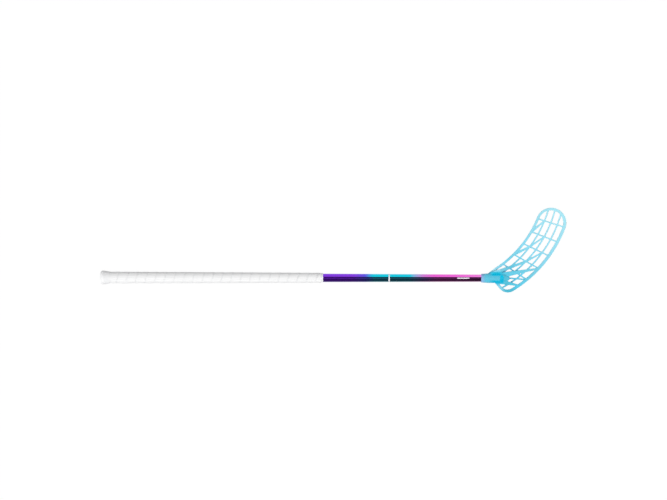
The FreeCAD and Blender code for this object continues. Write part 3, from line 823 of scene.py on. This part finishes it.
def report(piece: bpy.types.Object) -> None:
    """Log one piece with its triangle count."""
    LOG.info("%s: %d triangles", piece.name, triangles(piece))


def dress_node(name: str, material: bpy.types.Material) -> None:
    """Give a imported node, which keeps its shape, one finish and log it.

    Args:
        name: Name of the node.
        material: Finish that it gets.
    """
    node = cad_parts[name]
    dress(node, material)
    report(node)


@dataclass
class LacqueredShaft:
    """The tube of the shaft and the plug in its tip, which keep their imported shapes."""

    finish: ShaftLacquer = ShaftLacquer()
    plug_finish: PlugPlastic = PlugPlastic()

    def build(self) -> None:
        """Dress the tube and the plug."""
        dress_node("shaft_tube", self.finish.material())
        dress_node("shaft_tip_plug", self.plug_finish.material())


@dataclass
class WoundGrip:
    """The soft strip wound round the handle, with the end cap and the finishing band."""

    taper: ShaftTaper = ShaftTaper()
    start: float = 0.02302
    end: float = 0.5520
    pitch: float = 0.0237
    lead_in: float = 0.0328  # extra winding at each end, which is cut off
    edge_gap: float = 0.00003
    lip_round: float = 0.0004
    lip_cut: float = 0.3  # share of the lips' rounding
    high_lip_cut: float = 0.35  # share of the lips' rounding
    high_lip_drop: float = 0.00002
    # Heights above the shaft.
    bond: float = 0.00015
    low_edge: float = 0.0017
    crown: float = 0.00215
    # Shares of the half width, with how far the top lies below the crown there.
    top: tuple[tuple[float, float], ...] = (
        (-0.72, 0.00028),
        (-0.35, 0.00024),
        (0.0, 0.00013),
        (0.4, 0.00004),
        (0.75, 0.0),
    )
    steps_per_turn: int = 72
    cap_finish: WhiteMoulding = WhiteMoulding()
    band_finish: BandFilm = BandFilm()

    def first_place(self) -> float:
        """Give where the middle of the strip starts, before the cut."""
        return self.start - self.lead_in

    def profile(self) -> list[tuple[float, float]]:
        """Give the section of the strip.

        Returns:
            Corners of the section as places along X from its middle and heights above the shaft.
        """
        half = self.pitch / 2 - self.edge_gap
        soft = self.lip_round
        cut = soft * self.lip_cut
        low_lip = [
            (-half, self.bond),
            (-half, self.low_edge - soft),
            (-half + cut, self.low_edge - cut),
            (-half + soft, self.low_edge),
        ]
        top = [(half * share, self.crown - drop) for share, drop in self.top]
        high_lip = [
            (half - soft, self.crown - self.high_lip_drop),
            (half - soft * self.high_lip_cut, self.crown - cut),
            (half, self.crown - soft),
            (half, self.bond),
        ]
        return low_lip + top + high_lip

    def strip(self) -> bpy.types.Object:
        """Wind the strip as one left-hand screw and trim its ends square.

        Returns:
            The wound strip.
        """
        shape = bmesh.new()
        first = self.first_place()
        corners = [
            shape.verts.new((first + along, self.taper.butt_radius + height, 0.0))
            for along, height in self.profile()
        ]
        edges = [
            shape.edges.new((corner, corners[(index + 1) % len(corners)]))
            for index, corner in enumerate(corners)
        ]
        turns = math.ceil((self.end + self.lead_in - first) / self.pitch)
        bmesh.ops.spin(
            shape,
            geom=corners + edges,
            cent=(0.0, 0.0, 0.0),
            axis=(-1.0, 0.0, 0.0),
            dvec=(self.pitch / self.steps_per_turn, 0.0, 0.0),
            angle=FULL_TURN * turns,
            steps=turns * self.steps_per_turn,
            use_merge=False,
        )
        for corner in shape.verts:
            outward = Vector((0.0, corner.co.y, corner.co.z)).normalized()
            corner.co -= outward * (self.taper.slope() * corner.co.x)
        self.trim(shape, self.start, Side.BEFORE)
        self.trim(shape, self.end, Side.PAST)
        bmesh.ops.recalc_face_normals(shape, faces=shape.faces)
        return new_piece("grip_strip", shape)

    def trim(self, shape: bmesh.types.BMesh, place: float, side: Side) -> None:
        """Cut the winding square and close the cut with sharp edges.

        Args:
            shape: Winding to cut.
            place: Where the cut lies along X.
            side: Side of the cut that is taken away.
        """
        bmesh.ops.bisect_plane(
            shape,
            geom=shape.verts[:] + shape.edges[:] + shape.faces[:],
            plane_co=(place, 0.0, 0.0),
            plane_no=(side.value, 0.0, 0.0),
            clear_outer=True,
        )
        rim = [edge for edge in shape.edges if edge.is_boundary]
        closed = bmesh.ops.holes_fill(shape, edges=rim, sides=0)
        for face in closed["faces"]:
            for edge in face.edges:
                edge.smooth = False

    def build(self) -> None:
        """Build the strip and dress it, the end cap and the band."""
        piece = self.strip()
        dress(piece, GripFoam(self.first_place(), self.pitch).material())
        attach(piece, Body.STICK.value)
        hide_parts("grip_wrap")
        report(piece)
        dress_node("end_cap", self.cap_finish.material())
        dress_node("grip_finish_band", self.band_finish.material())


@dataclass
class HookedBlade:
    """The openwork blade with its hosel, and the two screws that hold it."""

    weld: float = 1e-6
    voxel: float = 0.00055
    smoothing: int = 8
    smooth_share: float = 0.5
    most_triangles: int = 180000
    finish: BladePlastic = BladePlastic()
    screw_finish: ScrewZinc = ScrewZinc()

    def moulding(self) -> bpy.types.Object:
        """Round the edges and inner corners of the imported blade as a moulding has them.

        Returns:
            The rounded blade.
        """
        shape = bmesh.new()
        shape.from_mesh(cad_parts["blade"].data)
        bmesh.ops.remove_doubles(shape, verts=shape.verts, dist=self.weld)
        piece = new_piece("blade_moulding", shape)
        remesh = piece.modifiers.new("even_skin", "REMESH")
        remesh.mode = "VOXEL"
        remesh.voxel_size = self.voxel
        even = piece.modifiers.new("soft_edges", "SMOOTH")
        even.factor = self.smooth_share
        even.iterations = self.smoothing
        self.settle(piece)
        thin = piece.modifiers.new("fewer_faces", "DECIMATE")
        thin.ratio = min(1.0, self.most_triangles / triangles(piece))
        self.settle(piece)
        piece.data.shade_smooth()
        return piece

    def settle(self, piece: bpy.types.Object) -> None:
        """Apply a piece's modifiers to its mesh.

        Args:
            piece: Piece that has the modifiers.
        """
        depsgraph = bpy.context.evaluated_depsgraph_get()
        mesh = bpy.data.meshes.new_from_object(piece.evaluated_get(depsgraph))
        piece.modifiers.clear()
        piece.data = mesh

    def build(self) -> None:
        """Build the blade and dress it and the screws."""
        piece = self.moulding()
        dress(piece, self.finish.material())
        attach(piece, Body.STICK.value)
        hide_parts("blade")
        report(piece)
        zinc = self.screw_finish.material()
        for name in ("mouth_blade_screw", "tip_blade_screw"):
            dress_node(name, zinc)


@dataclass(frozen=True)
class Lamp:
    """One soft lamp of the studio."""

    name: str
    place: Point
    width: float
    depth: float
    power: float

    def hang(self, aim: Vector) -> None:
        """Hang the lamp so that it shines at a point.

        Args:
            aim: Point that it shines at.
        """
        light = bpy.data.lights.new(self.name, "AREA")
        light.shape = "RECTANGLE"
        light.size = self.width
        light.size_y = self.depth
        light.energy = self.power
        lamp = bpy.data.objects.new(self.name, light)
        lamp.location = self.place
        lamp.rotation_euler = (aim - Vector(self.place)).to_track_quat("-Z", "Y").to_euler()
        bpy.context.scene.collection.objects.link(lamp)


@dataclass
class Studio:
    """A pale floor, soft lamps and a camera straight above."""

    centre: float = 0.55
    floor_level: float = -0.0174
    floor_half: float = 40.0
    floor_cells: int = 8
    floor_shade: Colour = (0.56, 0.56, 0.56, 1.0)
    # How much of the floor's own shading, and so of the shadow, the camera sees.
    shadow_share: float = 0.05
    glow: float = 1.03
    ambient: float = 0.36
    camera_place: Point = (0.58275, 0.06975, 12.0)
    camera_roll: float = 0.0018
    lens: float = 259.08
    sensor: float = 36.0
    lamps: tuple[Lamp, ...] = (
        Lamp("key_lamp", (0.65, -0.45, 2.9), 3.2, 1.4, 67.0),
        Lamp("fill_lamp", (0.55, -2.6, 0.9), 3.2, 1.0, 14.0),
        Lamp("end_lamp", (-1.6, -0.3, 0.4), 0.8, 0.8, 12.0),
    )

    def seen(self, tree: bpy.types.NodeTree) -> Socket:
        """Tell what the camera sees, straight or in gloss or through clear matter.

        Args:
            tree: Node tree to add to.

        Returns:
            The socket with 1 for such rays.
        """
        path = tree.nodes.new("ShaderNodeLightPath")
        seen = path.outputs["Is Camera Ray"]
        for ray in ("Is Glossy Ray", "Is Transmission Ray"):
            either = tree.nodes.new("ShaderNodeMath")
            either.operation = Sum.LARGER.value
            tree.links.new(seen, either.inputs[0])
            tree.links.new(path.outputs[ray], either.inputs[1])
            seen = either.outputs[0]
        return seen

    def floor(self) -> None:
        """Lay the pale floor, which keeps a faint shadow."""
        shape = bmesh.new()
        cells = self.floor_cells
        bmesh.ops.create_grid(shape, x_segments=cells, y_segments=cells, size=self.floor_half)
        place = (self.centre, 0.0, self.floor_level)
        bmesh.ops.translate(shape, verts=shape.verts, vec=place)
        piece = new_piece("studio_floor", shape)
        material = bpy.data.materials.new("studio_floor")
        material.use_nodes = True
        tree = material.node_tree
        tree.nodes.clear()
        out = tree.nodes.new("ShaderNodeOutputMaterial")
        matt = tree.nodes.new("ShaderNodeBsdfDiffuse")
        matt.inputs["Color"].default_value = self.floor_shade
        glow = tree.nodes.new("ShaderNodeEmission")
        glow.inputs["Strength"].default_value = self.glow
        pale = tree.nodes.new("ShaderNodeMixShader")
        pale.inputs[0].default_value = self.shadow_share
        tree.links.new(glow.outputs[0], pale.inputs[1])
        tree.links.new(matt.outputs[0], pale.inputs[2])
        shown = tree.nodes.new("ShaderNodeMixShader")
        tree.links.new(self.seen(tree), shown.inputs[0])
        tree.links.new(matt.outputs[0], shown.inputs[1])
        tree.links.new(pale.outputs[0], shown.inputs[2])
        tree.links.new(shown.outputs[0], out.inputs[0])
        piece.data.materials.append(material)

    def sky(self) -> None:
        """Fill the room with even light, white where the camera sees it."""
        world = bpy.data.worlds.new("studio")
        world.use_nodes = True
        bpy.context.scene.world = world
        tree = world.node_tree
        tree.nodes.clear()
        out = tree.nodes.new("ShaderNodeOutputWorld")
        even = tree.nodes.new("ShaderNodeBackground")
        even.inputs["Color"].default_value = WHITE
        even.inputs["Strength"].default_value = self.ambient
        white = tree.nodes.new("ShaderNodeBackground")
        white.inputs["Color"].default_value = WHITE
        both = tree.nodes.new("ShaderNodeMixShader")
        tree.links.new(self.seen(tree), both.inputs[0])
        tree.links.new(even.outputs[0], both.inputs[1])
        tree.links.new(white.outputs[0], both.inputs[2])
        tree.links.new(both.outputs[0], out.inputs[0])

    def camera(self) -> None:
        """Set the camera straight above the stick."""
        data = bpy.data.cameras.new("camera")
        data.lens = self.lens
        data.sensor_width = self.sensor
        camera = bpy.data.objects.new("camera", data)
        camera.location = self.camera_place
        camera.rotation_euler = (0.0, 0.0, self.camera_roll)
        bpy.context.scene.collection.objects.link(camera)
        bpy.context.scene.camera = camera

    def build(self) -> None:
        """Set up the whole studio."""
        bpy.context.scene.view_settings.view_transform = "Standard"
        self.floor()
        self.sky()
        for lamp in self.lamps:
            lamp.hang(Vector((self.centre, 0.0, 0.0)))
        self.camera()


def main() -> None:
    """Build the stick and its studio in order."""
    logging.basicConfig(level=logging.INFO, format="%(message)s")
    LacqueredShaft().build()
    WoundGrip().build()
    HookedBlade().build()
    Studio().build()


if __name__ == "__main__":
    main()
